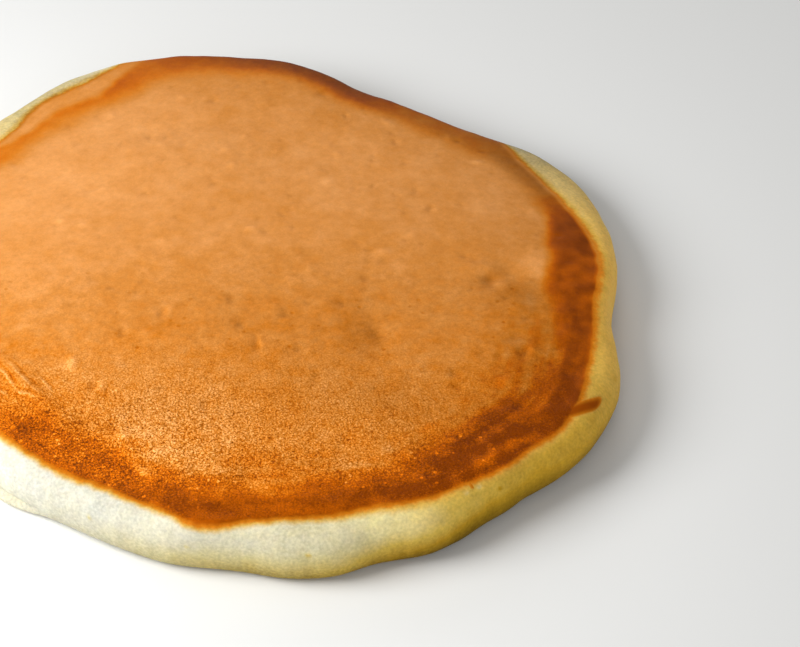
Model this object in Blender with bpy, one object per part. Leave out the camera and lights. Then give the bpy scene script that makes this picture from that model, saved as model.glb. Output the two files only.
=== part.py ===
"""One thick, soft griddle pancake: a single solid, browned face up, resting on its flat underside.

Metres, +Z up. The origin is on the resting face, under the middle of the pancake's bounding box.
A direction is an angle in degrees, anticlockwise from +X, seen from above.
"""

import math

import bmesh
import bpy

# The outline seen from above is an oval that the poured batter left uneven.
MEAN_RADIUS = 0.0555
OVAL_STRETCH = 0.0029
OVAL_DIRECTION = 125
# Swellings and hollows of the outline: direction, how far it stands out, spread in degrees.
OUTLINE_LOBES = (
    (39, 0.0057, 23),
    (52, -0.0068, 12),
    (71, -0.0037, 8),
    (118, 0.0038, 14),
    (177, 0.0036, 28),
    (246, -0.0013, 9),
    (268, -0.0016, 6),
    (290, -0.0015, 4),
    (308, -0.0021, 6),
    (316, -0.0009, 3),
    (332, 0.0020, 22),
    (353, -0.0026, 7),
)

# The browned face ends in a soft edge, set in from the outline by this much.
EDGE_INSET = 0.0036
EDGE_INSET_LOBES = (
    (27, 0.0034, 13),
    (2, -0.0008, 8),
    (85, -0.0006, 25),
    (136, 0.0026, 14),
    (208, 0.0010, 20),
    (264, -0.0016, 6),
    (281, 0.0014, 6),
    (311, -0.0017, 6),
    (338, 0.0016, 7),
)

# Heights above the resting face
MIDDLE_HEIGHT = 0.0108
EDGE_HEIGHT = 0.0090
EDGE_HEIGHT_LOBES = (
    (35, -0.0007, 25),
    (140, -0.0005, 20),
    (285, 0.0004, 18),
)
WIDEST_HEIGHT = 0.0038
WIDEST_HEIGHT_LOBES = (
    (324, 0.0014, 9),
    (205, 0.0006, 14),
)
DOME_POWER = 4

# The side is two soft curves: from the browned edge out to the widest line, and from there in to the foot.
EDGE_SLOPE = 0.14
SHOULDER_FULLNESS = 0.62
BELLY_FULLNESS = 0.60
FOOT_TUCK = 0.0030
FOOT_TUCK_LOBES = (
    (324, 0.0024, 8),
    (20, 0.0010, 30),
    (270, -0.0006, 12),
)

# A thin skirt of batter ran out along the griddle and left a second lip under the side.
LIP_START, LIP_END, LIP_FADE = 186, 234, 5
LIP_REACH, LIP_HEIGHT = 0.0012, 0.0007
GROOVE_DEPTH, GROOVE_HEIGHT = 0.0011, 0.0020
LIP_SOFTNESS = 0.0006

# Relief of the browned face: x, y, rise (below 0 is a hollow), half-length, half-width, direction of its length.
FACE_RELIEF = (
    (0.0172, -0.0155, -0.0007, 0.0060, 0.0028, 80),
    (0.0339, -0.0003, 0.0005, 0.0024, 0.0018, 20),
    (0.0361, -0.0033, -0.0005, 0.0019, 0.0017, 100),
    (0.0377, -0.0060, 0.0005, 0.0022, 0.0018, 150),
    (0.0418, 0.0002, 0.0003, 0.0042, 0.0036, 90),
    (-0.0150, 0.0340, -0.0003, 0.0100, 0.0024, 15),
    (-0.0160, 0.0260, 0.0004, 0.0110, 0.0060, 20),
    (-0.0340, -0.0236, 0.0004, 0.0075, 0.0016, 128),
    (-0.0302, -0.0288, 0.0004, 0.0070, 0.0016, 131),
    (-0.0040, -0.0060, 0.0003, 0.0160, 0.0120, 40),
    (0.0120, 0.0260, -0.0003, 0.0150, 0.0080, 160),
)

# Mesh density
FACE_CELLS = 56
SHOULDER_STEPS = 6
BELLY_STEPS = 5

# The browned face is darker from this share of its radius out to its edge.
DARK_RING_START = 0.86

CRUST_COLOUR = (0.72, 0.27, 0.075, 1)
DARK_CRUST_COLOUR = (0.40, 0.10, 0.012, 1)
SIDE_COLOUR = (0.82, 0.70, 0.42, 1)
ROUGHNESS = 0.6


def lobes(direction, values):
    """What a list of soft swellings adds up to in one direction, given in radians."""
    total = 0
    for centre, rise, spread in values:
        away = math.remainder(direction - math.radians(centre), 2 * math.pi)
        total += rise * math.exp(-0.5 * (away / math.radians(spread)) ** 2)
    return total


def smooth_step(low, high, value):
    """0 below low, 1 above high, and a soft rise between them."""
    share = min(1, max(0, (value - low) / (high - low)))
    return share * share * (3 - 2 * share)


def outline_radius(direction):
    oval = OVAL_STRETCH * math.cos(2 * (direction - math.radians(OVAL_DIRECTION)))
    return MEAN_RADIUS + oval + lobes(direction, OUTLINE_LOBES)


def edge_radius(direction):
    """Where the browned face ends."""
    return outline_radius(direction) - EDGE_INSET - lobes(direction, EDGE_INSET_LOBES)


def edge_height(direction):
    return EDGE_HEIGHT + lobes(direction, EDGE_HEIGHT_LOBES)


def widest_height(direction):
    return WIDEST_HEIGHT + lobes(direction, WIDEST_HEIGHT_LOBES)


def lip_share(direction):
    """1 along the skirt of batter, 0 elsewhere."""
    degrees = math.degrees(direction) % 360
    rise = smooth_step(LIP_START - LIP_FADE, LIP_START + LIP_FADE, degrees)
    return rise * (1 - smooth_step(LIP_END - LIP_FADE, LIP_END + LIP_FADE, degrees))


def bell(value, middle, softness):
    return math.exp(-(((value - middle) / softness) ** 2))


def with_lip(radius, height, direction):
    """Pushes the foot of the side out into the lip and cuts the groove above it."""
    out = LIP_REACH * bell(height, LIP_HEIGHT, LIP_SOFTNESS)
    groove = GROOVE_DEPTH * bell(height, GROOVE_HEIGHT, LIP_SOFTNESS)
    return radius + lip_share(direction) * (out - groove)


def bezier(points, share):
    """A point on the cubic curve through four (radius, height) handles."""
    rest = 1 - share
    weights = (rest**3, 3 * rest**2 * share, 3 * rest * share**2, share**3)
    return tuple(sum(w * p[axis] for w, p in zip(weights, points)) for axis in range(2))


def side_point(direction, step):
    """(radius, height) on the side, step 0 at the browned edge and the last step at the foot."""
    outer, widest = outline_radius(direction), widest_height(direction)
    if step <= SHOULDER_STEPS:
        edge, top = edge_radius(direction), edge_height(direction)
        along = SHOULDER_FULLNESS * (outer - edge)
        handles = (
            (edge, top),
            (edge + along, top - EDGE_SLOPE * along),
            (outer, widest + SHOULDER_FULLNESS * (top - widest)),
            (outer, widest),
        )
        radius, height = bezier(handles, step / SHOULDER_STEPS)
    else:
        foot = outer - FOOT_TUCK - lobes(direction, FOOT_TUCK_LOBES)
        handles = (
            (outer, widest),
            (outer, widest * (1 - BELLY_FULLNESS)),
            (foot + BELLY_FULLNESS * (outer - foot), 0),
            (foot, 0),
        )
        radius, height = bezier(handles, (step - SHOULDER_STEPS) / BELLY_STEPS)
    return with_lip(radius, height, direction), height


def face_height(x, y, share, direction):
    """Height of the browned face, where share is the distance from the middle out to its edge, 0 to 1."""
    dome = MIDDLE_HEIGHT + (edge_height(direction) - MIDDLE_HEIGHT) * share**DOME_POWER
    relief = 0
    for cx, cy, rise, half_length, half_width, turned in FACE_RELIEF:
        turn = math.radians(turned)
        along = ((x - cx) * math.cos(turn) + (y - cy) * math.sin(turn)) / half_length
        across = ((y - cy) * math.cos(turn) - (x - cx) * math.sin(turn)) / half_width
        relief += rise * math.exp(-(along**2) - across**2)
    return dome + relief * (1 - share**8)


def square_to_disc(x, y):
    """(share of the radius, direction) for a point of the square from -1 to 1: its rings become circles."""
    share = max(abs(x), abs(y))
    if share == 0:
        return 0, 0
    if abs(x) >= abs(y):
        direction = math.pi / 4 * y / x + (math.pi if x < 0 else 0)
    else:
        direction = math.pi / 2 - math.pi / 4 * x / y + (math.pi if y < 0 else 0)
    return share, direction


def add_face(mesh):
    """The browned face: a square grid drawn out into the uneven disc. Returns the edges round it."""
    bmesh.ops.create_grid(mesh, x_segments=FACE_CELLS, y_segments=FACE_CELLS, size=1)
    for vertex in mesh.verts:
        share, direction = square_to_disc(vertex.co.x, vertex.co.y)
        radius = share * edge_radius(direction)
        x, y = radius * math.cos(direction), radius * math.sin(direction)
        vertex.co = (x, y, face_height(x, y, share, direction))
    return [edge for edge in mesh.edges if edge.is_boundary]


def add_side(mesh, ring):
    """The pale side, drawn down from the face's edge ring by ring. Returns the edges round the foot."""
    for step in range(1, SHOULDER_STEPS + BELLY_STEPS + 1):
        made = bmesh.ops.extrude_edge_only(mesh, edges=ring)["geom"]
        ring = [item for item in made if isinstance(item, bmesh.types.BMEdge)]
        for vertex in {v for edge in ring for v in edge.verts}:
            direction = math.atan2(vertex.co.y, vertex.co.x)
            radius, height = side_point(direction, step)
            vertex.co = (radius * math.cos(direction), radius * math.sin(direction), height)
    return ring


def centre_on_origin(mesh):
    """Moves the pancake so that the origin is under the middle of its bounding box."""
    xs = [vertex.co.x for vertex in mesh.verts]
    ys = [vertex.co.y for vertex in mesh.verts]
    middle = (-(min(xs) + max(xs)) / 2, -(min(ys) + max(ys)) / 2, 0)
    bmesh.ops.translate(mesh, verts=mesh.verts, vec=middle)


def material(name, colour):
    made = bpy.data.materials.new(name)
    made.use_nodes = True
    shader = made.node_tree.nodes["Principled BSDF"]
    shader.inputs["Base Color"].default_value = colour
    shader.inputs["Roughness"].default_value = ROUGHNESS
    shader.inputs["Metallic"].default_value = 0
    return made


def build_pancake():
    mesh = bmesh.new()
    face_edge = add_face(mesh)
    for face in mesh.faces:
        middle = face.calc_center_median()
        share = math.hypot(middle.x, middle.y) / edge_radius(math.atan2(middle.y, middle.x))
        face.material_index = 1 if share > DARK_RING_START else 0
    browned = list(mesh.faces)
    foot = add_side(mesh, face_edge)
    for face in set(mesh.faces) - set(browned):
        face.material_index = 2
    bmesh.ops.contextual_create(mesh, geom=foot)
    centre_on_origin(mesh)
    bmesh.ops.recalc_face_normals(mesh, faces=mesh.faces)

    data = bpy.data.meshes.new("pancake")
    mesh.to_mesh(data)
    mesh.free()
    data.shade_smooth()
    data.set_sharp_from_angle(angle=math.radians(50))
    data.materials.append(material("browned_crust", CRUST_COLOUR))
    data.materials.append(material("dark_crust", DARK_CRUST_COLOUR))
    data.materials.append(material("pale_side", SIDE_COLOUR))
    pancake = bpy.data.objects.new("pancake", data)

    collection = bpy.data.collections.new("griddle_pancake")
    bpy.context.scene.collection.children.link(collection)
    collection.objects.link(pancake)


def main():
    for item in list(bpy.data.objects):
        bpy.data.objects.remove(item)
    build_pancake()


main()
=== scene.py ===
import math

import bpy
import numpy as np
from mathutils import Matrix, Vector, noise


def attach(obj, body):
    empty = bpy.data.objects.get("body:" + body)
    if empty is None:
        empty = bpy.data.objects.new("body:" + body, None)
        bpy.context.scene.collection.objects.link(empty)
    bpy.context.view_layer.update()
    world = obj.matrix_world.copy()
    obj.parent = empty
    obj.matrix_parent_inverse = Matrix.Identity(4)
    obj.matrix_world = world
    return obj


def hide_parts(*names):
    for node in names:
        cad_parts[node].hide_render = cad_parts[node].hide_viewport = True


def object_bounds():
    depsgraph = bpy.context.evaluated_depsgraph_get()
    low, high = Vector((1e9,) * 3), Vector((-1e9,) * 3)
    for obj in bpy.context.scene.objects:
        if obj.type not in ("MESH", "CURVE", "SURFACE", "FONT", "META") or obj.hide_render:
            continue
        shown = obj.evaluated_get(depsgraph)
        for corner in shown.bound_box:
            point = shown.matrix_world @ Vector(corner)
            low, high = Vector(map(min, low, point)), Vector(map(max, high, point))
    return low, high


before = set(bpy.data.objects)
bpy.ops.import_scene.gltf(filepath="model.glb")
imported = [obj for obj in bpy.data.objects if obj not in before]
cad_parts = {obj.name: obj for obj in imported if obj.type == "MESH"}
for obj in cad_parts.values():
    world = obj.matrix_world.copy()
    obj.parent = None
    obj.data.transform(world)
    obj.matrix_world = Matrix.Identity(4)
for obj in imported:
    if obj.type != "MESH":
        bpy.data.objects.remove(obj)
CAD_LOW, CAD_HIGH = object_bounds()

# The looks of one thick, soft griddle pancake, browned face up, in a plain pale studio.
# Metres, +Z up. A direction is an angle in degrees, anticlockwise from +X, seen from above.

# The outline seen from above is an oval that the poured batter left uneven.
MEAN_RADIUS = 0.0555
OVAL_STRETCH = 0.0029
OVAL_DIRECTION = 125
# Swellings and hollows of the outline: direction, how far it stands out, spread in degrees.
OUTLINE_LOBES = (
    (39, 0.0057, 23), (52, -0.0068, 12), (71, -0.0037, 8), (118, 0.0038, 14),
    (177, 0.0036, 28), (246, -0.0013, 9), (268, -0.0016, 6), (290, -0.0015, 4),
    (308, -0.0021, 6), (316, -0.0009, 3), (332, 0.002, 22), (353, -0.0026, 7),
)

# The browned face ends in a soft edge, set in from the outline by this much.
EDGE_INSET = 0.0036
EDGE_INSET_LOBES = (
    (27, 0.0034, 13), (2, -0.0008, 8), (85, -0.0006, 25), (136, 0.0026, 14),
    (208, 0.001, 20), (264, -0.0016, 6), (281, 0.0014, 6), (311, -0.0017, 6),
    (338, 0.0016, 7),
)

# Heights above the resting face
MIDDLE_HEIGHT = 0.0108
EDGE_HEIGHT = 0.009
EDGE_HEIGHT_LOBES = ((35, -0.0007, 25), (140, -0.0005, 20), (285, 0.0004, 18))
WIDEST_HEIGHT = 0.0038
WIDEST_HEIGHT_LOBES = ((324, 0.0014, 9), (205, 0.0006, 14))
# The higher the power, the nearer to the edge the dome falls away and the relief fades out.
DOME_POWER, RELIEF_POWER = 4, 8

# The side is two soft curves: from the browned edge out to the widest line, and from there in to the foot.
EDGE_SLOPE = 0.14
SHOULDER_FULLNESS = 0.62
BELLY_FULLNESS = 0.6
FOOT_TUCK = 0.003
FOOT_TUCK_LOBES = ((324, 0.0024, 8), (20, 0.001, 30), (270, -0.0006, 12))

# A thin skirt of batter ran out along the griddle and left a second lip under the side.
LIP_START, LIP_END, LIP_FADE = 186, 234, 5
LIP_REACH, LIP_HEIGHT = 0.0012, 0.0007
GROOVE_DEPTH, GROOVE_HEIGHT = 0.0011, 0.002
LIP_SOFTNESS = 0.0006

# Relief of the browned face: x, y, rise (below 0 is a hollow), half-length, half-width, direction
FACE_RELIEF = (
    (0.0172, -0.0155, -0.0005, 0.006, 0.0028, 95),
    (0.0339, -0.0003, 0.0003, 0.0024, 0.0018, 20),
    (0.0361, -0.0033, -0.0003, 0.0019, 0.0017, 100),
    (0.0377, -0.006, 0.0003, 0.0022, 0.0018, 150),
    (0.0418, 0.0002, 0.0003, 0.0042, 0.0036, 90),
    (-0.015, 0.034, -0.0003, 0.01, 0.0024, 15),
    (-0.016, 0.026, 0.0004, 0.011, 0.006, 20),
    (-0.034, -0.0236, 0.0004, 0.0075, 0.0016, 128),
    (-0.0302, -0.0288, 0.0004, 0.007, 0.0016, 131),
    (-0.004, -0.006, 0.0003, 0.016, 0.012, 40),
    (0.012, 0.026, -0.0003, 0.015, 0.008, 160),
)

# Mesh density: cells across the browned face and the underside, and rows down the side
FACE_CELLS = 232
UNDER_CELLS = FACE_CELLS // 2
SHOULDER_ROWS, BELLY_ROWS = 20, 10
UNDER_SHARE = 0.985

# Fine relief of the face: wavelengths and heights of its noise
SWELL_WAVELENGTH, SWELL_HEIGHT = 0.011, 0.0001
RIPPLE_WAVELENGTH, RIPPLE_HEIGHT = 0.0026, 0.00005
PEEL_WAVELENGTH, PEEL_HEIGHT = 0.0011, 0.00002
# The face is lumpier just inside the ring at the front: by how much, how far inside the edge, how widely.
COARSE_GAIN, COARSE_MIDDLE, COARSE_WIDTH = 2.2, 0.008, 0.006
# Fine relief of the side: its flutes are stretched upwards, and it takes a share of the face's ripple.
LUMP_WAVELENGTH, LUMP_HEIGHT = 0.007, 0.00022
FLUTE_WAVELENGTH, FLUTE_HEIGHT, FLUTE_STRETCH = 0.0038, 0.00012, (1, 1, 0.2)
SIDE_RIPPLE = 0.5
# From where to where, inside the edge, the face's relief sets in, and above the floor, the side's
FACE_RELIEF_RISE, SIDE_RELIEF_RISE = (-0.001, 0.002), (0, 0.0015)
# The front, from the sine of one direction to that of another
FRONT_RISE = (0.2, -0.6)

# Small marks on the browned face: x, y, rise, half-length, half-width, direction, how much darker. The
# darkening is partly the crust's own tone and partly painted shade in hollows and over broad areas; below 0
# it is partly painted light on rises.
MARKS = (
    (0.0182, -0.0152, -0.0002, 0.0026, 0.001, 104, 0.36),
    (0.0172, -0.014, 0, 0.007, 0.0034, 100, 0.12),
    (0.0124, -0.03, 0, 0.014, 0.008, 0, 0.1),
    (0.006, -0.015, 0, 0.023, 0.015, 0, 0.09),
    (-0.004, -0.039, 0, 0.02, 0.007, 0, -0.08),
    (0.0355, -0.0008, 0.0002, 0.0012, 0.001, 90, -0.18),
    (0.0379, -0.0011, -0.0001, 0.0014, 0.001, 90, 0.22),
    (0.0355, -0.0027, -0.0002, 0.0011, 0.0009, 60, 0.26),
    (0.0375, -0.0041, 0.0002, 0.0013, 0.001, 120, -0.16),
    (0.0385, -0.0044, 0, 0.005, 0.004, 0, 0.19),
    (0.0376, -0.0071, -0.0001, 0.0009, 0.0008, 0, 0.14),
    (0.0401, -0.0188, -0.00035, 0.0011, 0.0008, 90, 0.36),
    (0.0415, -0.0183, 0.0002, 0.0014, 0.0007, 90, -0.24),
    (0.0365, -0.0198, -0.00025, 0.0009, 0.0006, 80, 0.26),
    (0.039, -0.0159, -0.0002, 0.001, 0.0007, 90, 0.2),
    (0.0299, -0.0236, -0.0003, 0.0009, 0.0006, 120, 0.3),
    (0.0301, -0.0263, -0.0003, 0.0008, 0.0006, 110, 0.3),
    (0.013, -0.0085, -0.00025, 0.0011, 0.0007, 110, 0.34),
    (0.0166, -0.003, -0.0002, 0.0009, 0.0006, 110, 0.24),
    (0.0048, -0.0112, -0.0002, 0.0009, 0.0007, 90, 0.3),
    (0.007, -0.019, -0.0002, 0.0008, 0.0006, 90, 0.26),
    (-0.0136, -0.0112, -0.0002, 0.001, 0.0007, 100, 0.26),
    (-0.0125, -0.0106, 0.0002, 0.001, 0.0007, 90, -0.22),
    (-0.0034, -0.0082, -0.0002, 0.0012, 0.0007, 100, 0.26),
    (-0.0018, -0.0136, -0.0002, 0.0011, 0.0008, 110, 0.26),
    (0.0008, -0.0178, -0.00025, 0.0018, 0.0006, 100, 0.24),
    (0.0016, -0.018, 0.0002, 0.0016, 0.0006, 100, -0.2),
    (-0.006, -0.0308, -0.0003, 0.001, 0.0007, 90, 0.26),
    (-0.0191, -0.0153, -0.00025, 0.0008, 0.0007, 90, 0.22),
    (-0.0225, -0.0265, -0.00025, 0.0009, 0.0007, 90, 0.26),
    (-0.0214, -0.0268, 0.00025, 0.001, 0.0007, 80, -0.34),
    (-0.0175, -0.0365, 0.0003, 0.0011, 0.0009, 60, -0.6),
    (-0.026, -0.0217, 0.0002, 0.0018, 0.0007, 90, -0.3),
    (-0.0138, -0.0437, 0.0002, 0.0014, 0.0006, 140, -0.6),
    (0.0268, -0.0349, 0.00025, 0.0012, 0.0008, 0, -0.3),
    (0.0232, -0.0404, 0.00025, 0.0011, 0.0008, 90, -0.36),
    (0.0373, -0.0254, 0.0002, 0.0012, 0.0009, 90, -0.32),
    (0.0428, 0.0012, 0, 0.0034, 0.0026, 90, -0.3),
    (0.0414, -0.0022, 0, 0.0026, 0.0034, 90, -0.22),
    (0.022, -0.0176, 0, 0.006, 0.0024, 100, -0.08),
    (0.0348, -0.0401, 0.0001, 0.0052, 0.0008, 41, -0.36),
    (-0.0008, -0.0442, 0, 0.003, 0.0014, 75, 0.22),
    (0.022, -0.0296, 0, 0.005, 0.004, 0, 0.12),
    (0.016, -0.0388, 0, 0.005, 0.004, 0, -0.12),
    (0.0075, -0.0415, 0, 0.006, 0.0022, 175, 0.13),
    (-0.024, -0.0344, 0, 0.0065, 0.003, 150, 0.16),
    (-0.0148, -0.0392, 0, 0.005, 0.003, 160, -0.15),
)
# Burst bubbles left more small pits, and the batter small lumps: how many, radii, rises, how much darker.
# The pits' darkening is partly painted shade, the lumps' lightening partly painted light.
PITS = (190, (0.00035, 0.0007), (-0.00018, -0.00005), (0.05, 0.16))
LUMPS = (70, (0.0005, 0.001), (0.00005, 0.00018), (-0.12, -0.04))
MARKS_REACH, MARKS_STRETCH = 0.049, (1, 1.8)
MARKS_SEED = 11

# The crust's border lies this far outside the browned edge, along the surface, and is a little ragged.
BORDER, BORDER_RAGGED = 0.0003, 0.00025
BORDER_LOBES = (
    (10, 0.0003, 8), (48, 0.0038, 6), (62, 0.0044, 12), (88, 0.0044, 12),
    (106, 0.0028, 7), (121, -0.0012, 5), (130, 0.0012, 4), (141, -0.0008, 5),
    (240, 0.0005, 4), (258, -0.0006, 3), (265, 0.0008, 4), (285, 0.0003, 4),
    (297, -0.0003, 4), (330, 0.0005, 5), (351, 0.0006, 8),
)
# From and to which distance inside the border the colour turns yellow, then orange, then brown
YELLOW_RISE = (-0.0012, -0.0002)
ORANGE_RISE = (-0.0005, 0.0001)
BROWNED_RISE = (-0.0001, 0.0007)
# Two smudges of crust on the side: direction where each leaves the edge, reach, half-width, lean, strength
SMUDGES = (
    (326.8, 0.0045, 0.0026, 6.4, 0.98),
    (305.2, 0.0015, 0.0007, 0, 0.85),
)
# Where a smudge sets in and where it ends, in shares of its reach, and the share up to which it leans
SMUDGE_START, SMUDGE_END, SMUDGE_LEAN_END = (-0.6, 0), (0.65, 1.25), 1.2
# How much wider a smudge is where it leaves the edge, and how much darker than the crust beside it
SMUDGE_ROOT, SMUDGE_TOAST = 0.45, 0.2
# How far inside the border a smudge of strength 0 and each added strength of 1 count as
SMUDGE_FADE = (-0.0032, 0.004)
# Small pale spots of painted highlight and dark pores on the side: direction, distance below the edge,
# radius, how much deeper
SIDE_MARKS = (
    (306.2, 0.001, 0.0005, -0.4),
    (304, 0.0012, 0.0004, -0.25),
    (232, 0.0011, 0.0005, -0.25),
    (246, 0.0053, 0.00035, 0.3),
    (279.5, 0.006, 0.00035, 0.35),
    (309.2, 0.0026, 0.0003, 0.3),
    (262, 0.0044, 0.0003, 0.2),
    (338.5, 0.0052, 0.0004, 0.2),
    (215, 0.004, 0.00035, 0.2),
    (160, 0.0045, 0.0004, 0.25),
    (75, 0.0062, 0.0004, 0.25),
    (22, 0.0055, 0.00035, 0.25),
)

# How deep the pale side's colour is, from cream at 0 to brownish yellow at 1: direction, how much, spread.
# It is partly the batter's own colour and partly painted shade.
DEPTH_LOBES = (
    (311, 0.26, 11), (328, 0.1, 8), (330, 0.46, 36), (10, 0.24, 30),
    (145, 0.34, 24),
)
# At its foot it is deeper in colour and darker with painted shade, but less where the foot is pale.
FOOT_DEPTH, FOOT_DEPTH_FADE = 0.34, (0.0005, 0.0075)
FOOT_SHADE, FOOT_SHADE_FADE = 0.51, (0.0004, 0.0042)
PALE_FOOT_LOBES = ((234, 0.78, 24),)
# Its lower half is deeper in colour and darker with painted shade too at the front right, and a little at
# the front and far right.
FLANK_LOBES = ((299, 0.27, 13), (264, 0.16, 9), (328, 0.12, 7))
FLANK_DEPTH, FLANK_DEPTH_FADE = 0.7, (0.003, 0.0078)
FLANK_SHADE_FADE = (0.003, 0.0072)
# All of the side is darker here with painted shade, or lighter with painted light where the middle number is
# below 0.
DIM_LOBES = (
    (245, 0.19, 12), (276, 0.13, 6), (358, -0.34, 14), (35, 0.2, 9),
    (46, 0.3, 9), (130, 0.36, 10),
)
# Where the side is tanned to a golden colour, and from where to where, inside the edge, that fades
TAN_LOBES = ((356, 0.95, 16), (30, 0.36, 12), (134, 0.24, 16))
TAN_FADE = (0.002, -0.001)
# Where the yellow and orange of the crust's border run further down the side
WIDE_BORDER_LOBES = ((128, 0.8, 12), (352, 1.0, 22), (296, 0.5, 8))

# The toasted ring: direction, width, tone, and how much more toasted than the middle the crust inside it is
RING = (
    (0, 0.0078, 0.86, 0.04),
    (8, 0.0076, 0.82, 0.02),
    (16, 0.0046, 0.72, 0.02),
    (24, 0.0044, 0.29, 0.04),
    (32, 0.0046, 0.24, 0.04),
    (40, 0.0048, 0.3, 0.04),
    (50, 0.0044, 0.42, 0.06),
    (66, 0.0042, 0.56, 0.1),
    (80, 0.0046, 0.5, 0.22),
    (96, 0.0048, 0.56, 0.3),
    (104, 0.0056, 0.56, 0.28),
    (112, 0.0076, 0.47, 0.2),
    (120, 0.0096, 0.61, 0.16),
    (128, 0.0086, 0.55, 0.15),
    (136, 0.0068, 0.49, 0.12),
    (144, 0.0066, 0.45, 0.15),
    (165, 0.006, 0.52, 0.25),
    (195, 0.0046, 0.58, 0.35),
    (210, 0.0036, 0.6, 0.42),
    (222, 0.0036, 0.6, 0.45),
    (228, 0.007, 0.84, 0.45),
    (240, 0.0076, 0.86, 0.45),
    (252, 0.0061, 0.87, 0.42),
    (258, 0.0066, 0.9, 0.42),
    (264, 0.0072, 0.88, 0.42),
    (270, 0.0052, 0.92, 0.52),
    (276, 0.0028, 0.84, 0.6),
    (282, 0.0058, 0.85, 0.62),
    (288, 0.0038, 0.97, 0.4),
    (294, 0.0052, 0.97, 0.38),
    (300, 0.0066, 1.09, 0.38),
    (306, 0.0088, 1.12, 0.34),
    (312, 0.009, 1.02, 0.28),
    (318, 0.0082, 0.95, 0.26),
    (324, 0.0064, 0.94, 0.26),
    (330, 0.0046, 0.97, 0.26),
    (336, 0.004, 0.94, 0.26),
    (342, 0.0046, 0.84, 0.28),
    (348, 0.0056, 0.87, 0.19),
    (354, 0.0068, 0.87, 0.1),
)
RING_WIDTH, RING_TONE, RING_GOLDEN = 1, 2, 3
# From where to where, inside the border, the ring sets in
RING_RISE = (0.0, 0.0012)
# Where the ring starts further in, how much further for each 1 of that, and how much softer
RING_START_LOBES = ((123, 0.0036, 8), (136, 0.0012, 5))
RING_START_SHIFT, RING_START_SOFTNESS = 0.9, 0.5
# Where the ring's inner border is sharp instead of soft
CRISP_LOBES = ((6, 1.0, 11),)
# From and to which share of its width the ring ends, and how much a sharp border moves each
RING_END, CRISP_END = (0.4, 1.36), (0.32, -0.26)
# How much its width varies round the edge and over the face, and the share that a sharp border lacks
RING_UNEVEN, RING_COARSE, CRISP_EVEN = 0.12, 0.1, 0.5
# How ragged its inner border is, in two sizes, and the share that a sharp border lacks
RAGGED_MIDDLING, RAGGED_FINE, CRISP_CLEAN = 0.0011, 0.0007, 0.6
# How mottled the ring is in two sizes, how much more at the front, and how mottled all the crust is
MOTTLED_COARSE, MOTTLED_MIDDLING, MOTTLED_FRONT, MOTTLED_CRUST = 0.24, 0.28, 0.36, 0.03
# Where the ring is dimmer, most at the edge and no more from this far inside it
RING_DIM_LOBES = ((30, 0.6, 15), (82, 0.72, 18))
RING_DIM_REACH = 0.0058
# Where the crust inside the ring is dusky, how toasted that makes it, and where it fades
DUSK_LOBES = ((319, 0.31, 15), (348, 0.12, 12))
DUSK_TOAST, DUSK_FADE = 0.25, (0.005, 0.019)
# From where to where, inside the border, the side's shade gives way, and inside the edge, the marks set in
SHADE_CHANGE, MARKS_RISE = (-0.0004, 0.001), (0, 0.002)
# From where to where, inside the edge, the smudges' extra toast fades
SMUDGE_TOAST_FADE = (0.001, -0.001)
# The crust's tone in the middle, and how much paler it is with painted sheen at the back and left, from
# where to where
MIDDLE_TOAST = 0.34
BACK_PAINTED_SHEEN, BACK_RISE = 0.2, (-0.036, 0.026)
LEFT_PAINTED_SHEEN, LEFT_RISE = 0.08, (0.005, -0.045)
# How far in the crust that is more toasted than the middle reaches
GOLDEN_REACH = 0.0065
# Wavelengths of the noise that the crust's tone follows: round the edge, and over the face in three sizes
UNEVEN_WAVELENGTH = 0.004
COARSE_WAVELENGTH, MIDDLING_WAVELENGTH, FINE_WAVELENGTH = 0.006, 0.0022, 0.001
# Drawn-out streaks run along the edge, most at the front right: direction, strength, spread.
STREAK_LOBES = ((320, 1.0, 20), (262, 0.4, 26))
STREAK_WAVELENGTH, STREAK_STRETCH = 0.0016, 8
STREAKS_MIDDLE, STREAKS_WIDTH, STREAK_DARKNESS = 0.0055, 0.0055, 0.36
# The share of finer streaks of half the size, from and to which noise a streak grows, and the even strength
FINER_STREAKS, STREAK_RISE, EVEN_STREAK = 0.5, (-0.35, 0.45), 0.54
# How strong the grain is at the back, in the middle and in a belt at the front, and where along y it grows
BACK_GRAIN, MIDDLE_GRAIN, FRONT_GRAIN = 0.14, 0.32, 2.5
MIDDLE_GRAIN_RISE, BELT_RISE = (0.012, -0.018), (-0.013, -0.039)
# Where the belt fades again along y, and by how much
BELT_END, BELT_DROP = (-0.043, -0.05), 0.65
# The belt is stronger at the left and weaker at the right: from and to where along x, and by how much.
BELT_LEFT, BELT_RIGHT, BELT_CHANGE = (0.012, -0.014), (0.01, 0.042), 0.5
# From where to where, inside the edge, the grain sets in
GRAIN_RISE = (-0.001, 0.001)

# Texture map: middle and radius of the island of face and side, and of the underside's
UPPER_MIDDLE, UPPER_RADIUS = 0.425, 0.42
LOWER_MIDDLE, LOWER_RADIUS = 0.84, 0.15

# The camera looks along +Y, down at the pancake.
CAMERA_AIM = Vector((0.0233, -0.0025, 0))
CAMERA_ELEVATION = 42
CAMERA_DISTANCE = 0.412
CAMERA_LENS, CAMERA_CLIP = 120, 0.01

# Round lamps: name, place, diameter, power
LAMPS = (
    ("key_from_left", (-0.19, -0.07, 0.17), 0.18, 0.9),
    ("sheen_from_back", (0.00, 0.95, 0.42), 0.5, 1.6),
    ("fill_from_front", (0.00, -0.9, 0.5), 0.8, 2.4),
)
LAMP_AIM = Vector((0, 0, 0.01))
AIR_STRENGTH = 0.36
FLOOR_REACH, FLOOR_DROP, FLOOR_ROUGHNESS = 3, 0.00002, 0.8

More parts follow.
